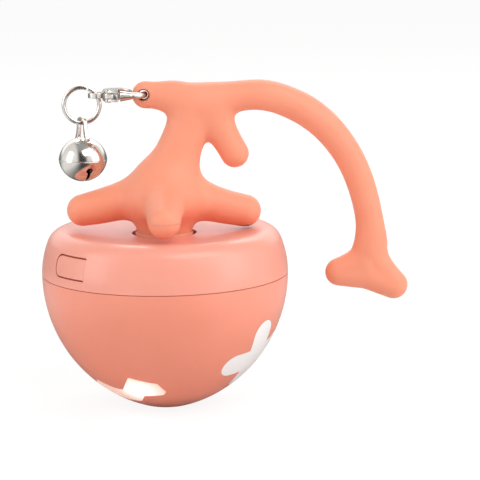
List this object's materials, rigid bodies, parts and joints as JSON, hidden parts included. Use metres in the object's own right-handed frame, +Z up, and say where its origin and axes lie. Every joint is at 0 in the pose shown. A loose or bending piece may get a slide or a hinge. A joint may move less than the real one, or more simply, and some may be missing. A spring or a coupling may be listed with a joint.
{
  "type": "self-rolling cat ball",
  "caption": "Self-rolling cat toy ball with an off-centre drive weight, lit flower windows and a soft branch topper that carries a clasp, a ring and a bell.",
  "frame": {"origin": "centre of the flat foot under the ball", "axes": "+Z up, -Y towards the front that the picture shows, +X to the side of the long tail"},
  "size_m": [0.1041, 0.07, 0.0925],
  "materials": {
    "shell": "soft matt, pale salmon",
    "window_plain": "milky white, translucent",
    "window_lit": "milky white, lit from behind",
    "silicone": "matt coral silicone",
    "steel": "plain",
    "nickel": "polished nickel",
    "nylon": "natural nylon",
    "frame_plastic": "dark moulded",
    "bush_bronze": "sintered bronze",
    "board": "solder mask",
    "chip": "moulded",
    "lamp": "phosphor lens",
    "foam": "closed-cell foam",
    "pouch": "laminated pouch"
  },
  "bodies": {
    "ball": {"lower_shell": "shell", "upper_shell": "shell", "high_windows": "window_plain", "low_windows": "window_lit", "counterweight": "steel", "drive_frame": "frame_plastic", "frame_screws": "steel", "gear_bridge": "frame_plastic", "bridge_screws": "steel", "lower_bush": "bush_bronze", "upper_bush": "bush_bronze", "idler_pin": "steel", "motor_can": "steel", "motor_cap": "nylon", "battery_pad": "foam", "battery_cell": "pouch", "main_board": "board", "board_parts": "chip", "board_screws": "steel", "usb_socket": "steel", "power_switch": "chip", "light_board": "board", "light_lamps": "lamp"},
    "button": {"power_button": "shell"},
    "weight_rotor": {"output_shaft": "steel", "output_gear": "nylon", "eccentric_weight": "steel"},
    "idler": {"idler_gear": "nylon"},
    "motor_rotor": {"motor_shaft": "steel", "motor_pinion": "bush_bronze"},
    "topper": {"topper": "silicone"},
    "clasp": {"clasp_body": "nickel", "clasp_rivet": "nickel"},
    "lever": {"clasp_lever": "nickel"},
    "ring": {"split_ring": "nickel"},
    "bell": {"bell_top": "nickel", "bell_bottom": "nickel"},
    "pellet": {"bell_pellet": "steel"}
  },
  "joints": [
    {"name": "eccentric_spin", "type": "hinge", "parent": "ball", "child": "weight_rotor", "pos_m": [0, 0, 0.012], "axis": [0, 0, 1], "continuous": true},
    {"name": "idler_spin", "type": "hinge", "parent": "ball", "child": "idler", "pos_m": [0, 0.01565, 0.024], "axis": [0, 0, 1], "continuous": true},
    {"name": "motor_spin", "type": "hinge", "parent": "ball", "child": "motor_rotor", "pos_m": [0.01324, 0.0116, 0.026], "axis": [0, 0, 1], "continuous": true},
    {"name": "button_press", "type": "hinge", "parent": "ball", "child": "button", "pos_m": [-0.02039, -0.02502, 0.0438], "axis": [0, 0, -1], "range_deg": [0, 3.5], "stiffness_Nm_per_rad": 0.05},
    {"name": "topper_pull", "type": "slide", "parent": "ball", "child": "topper", "axis": [0, 0, 1], "range_m": [0, 0.02]},
    {"name": "clasp_swing", "type": "hinge", "parent": "topper", "child": "clasp", "pos_m": [-0.0052, 0, 0.0887], "axis": [0, 1, 0], "range_deg": [0, 60]},
    {"name": "lever_open", "type": "hinge", "parent": "clasp", "child": "lever", "pos_m": [-0.015, -0.0029, 0.0887], "axis": [0, 0, 1], "range_deg": [0, 25], "stiffness_Nm_per_rad": 0.01},
    {"name": "ring_swing", "type": "hinge", "parent": "clasp", "child": "ring", "pos_m": [-0.0184, 0, 0.0887], "axis": [0, 1, 0], "range_deg": [0, 60]},
    {"name": "bell_swing", "type": "hinge", "parent": "ring", "child": "bell", "pos_m": [-0.02259, 0, 0.08097], "axis": [1, 0, 0], "range_deg": [-40, 40]},
    {"name": "pellet_rattle", "type": "slide", "parent": "bell", "child": "pellet", "axis": [0, 0, 1], "range_m": [0, 0.006]}
  ],
  "couplings": [
    {"joint": "idler_spin", "follows": "eccentric_spin", "ratio": -3.3333},
    {"joint": "motor_spin", "follows": "eccentric_spin", "ratio": 12}
  ]
}
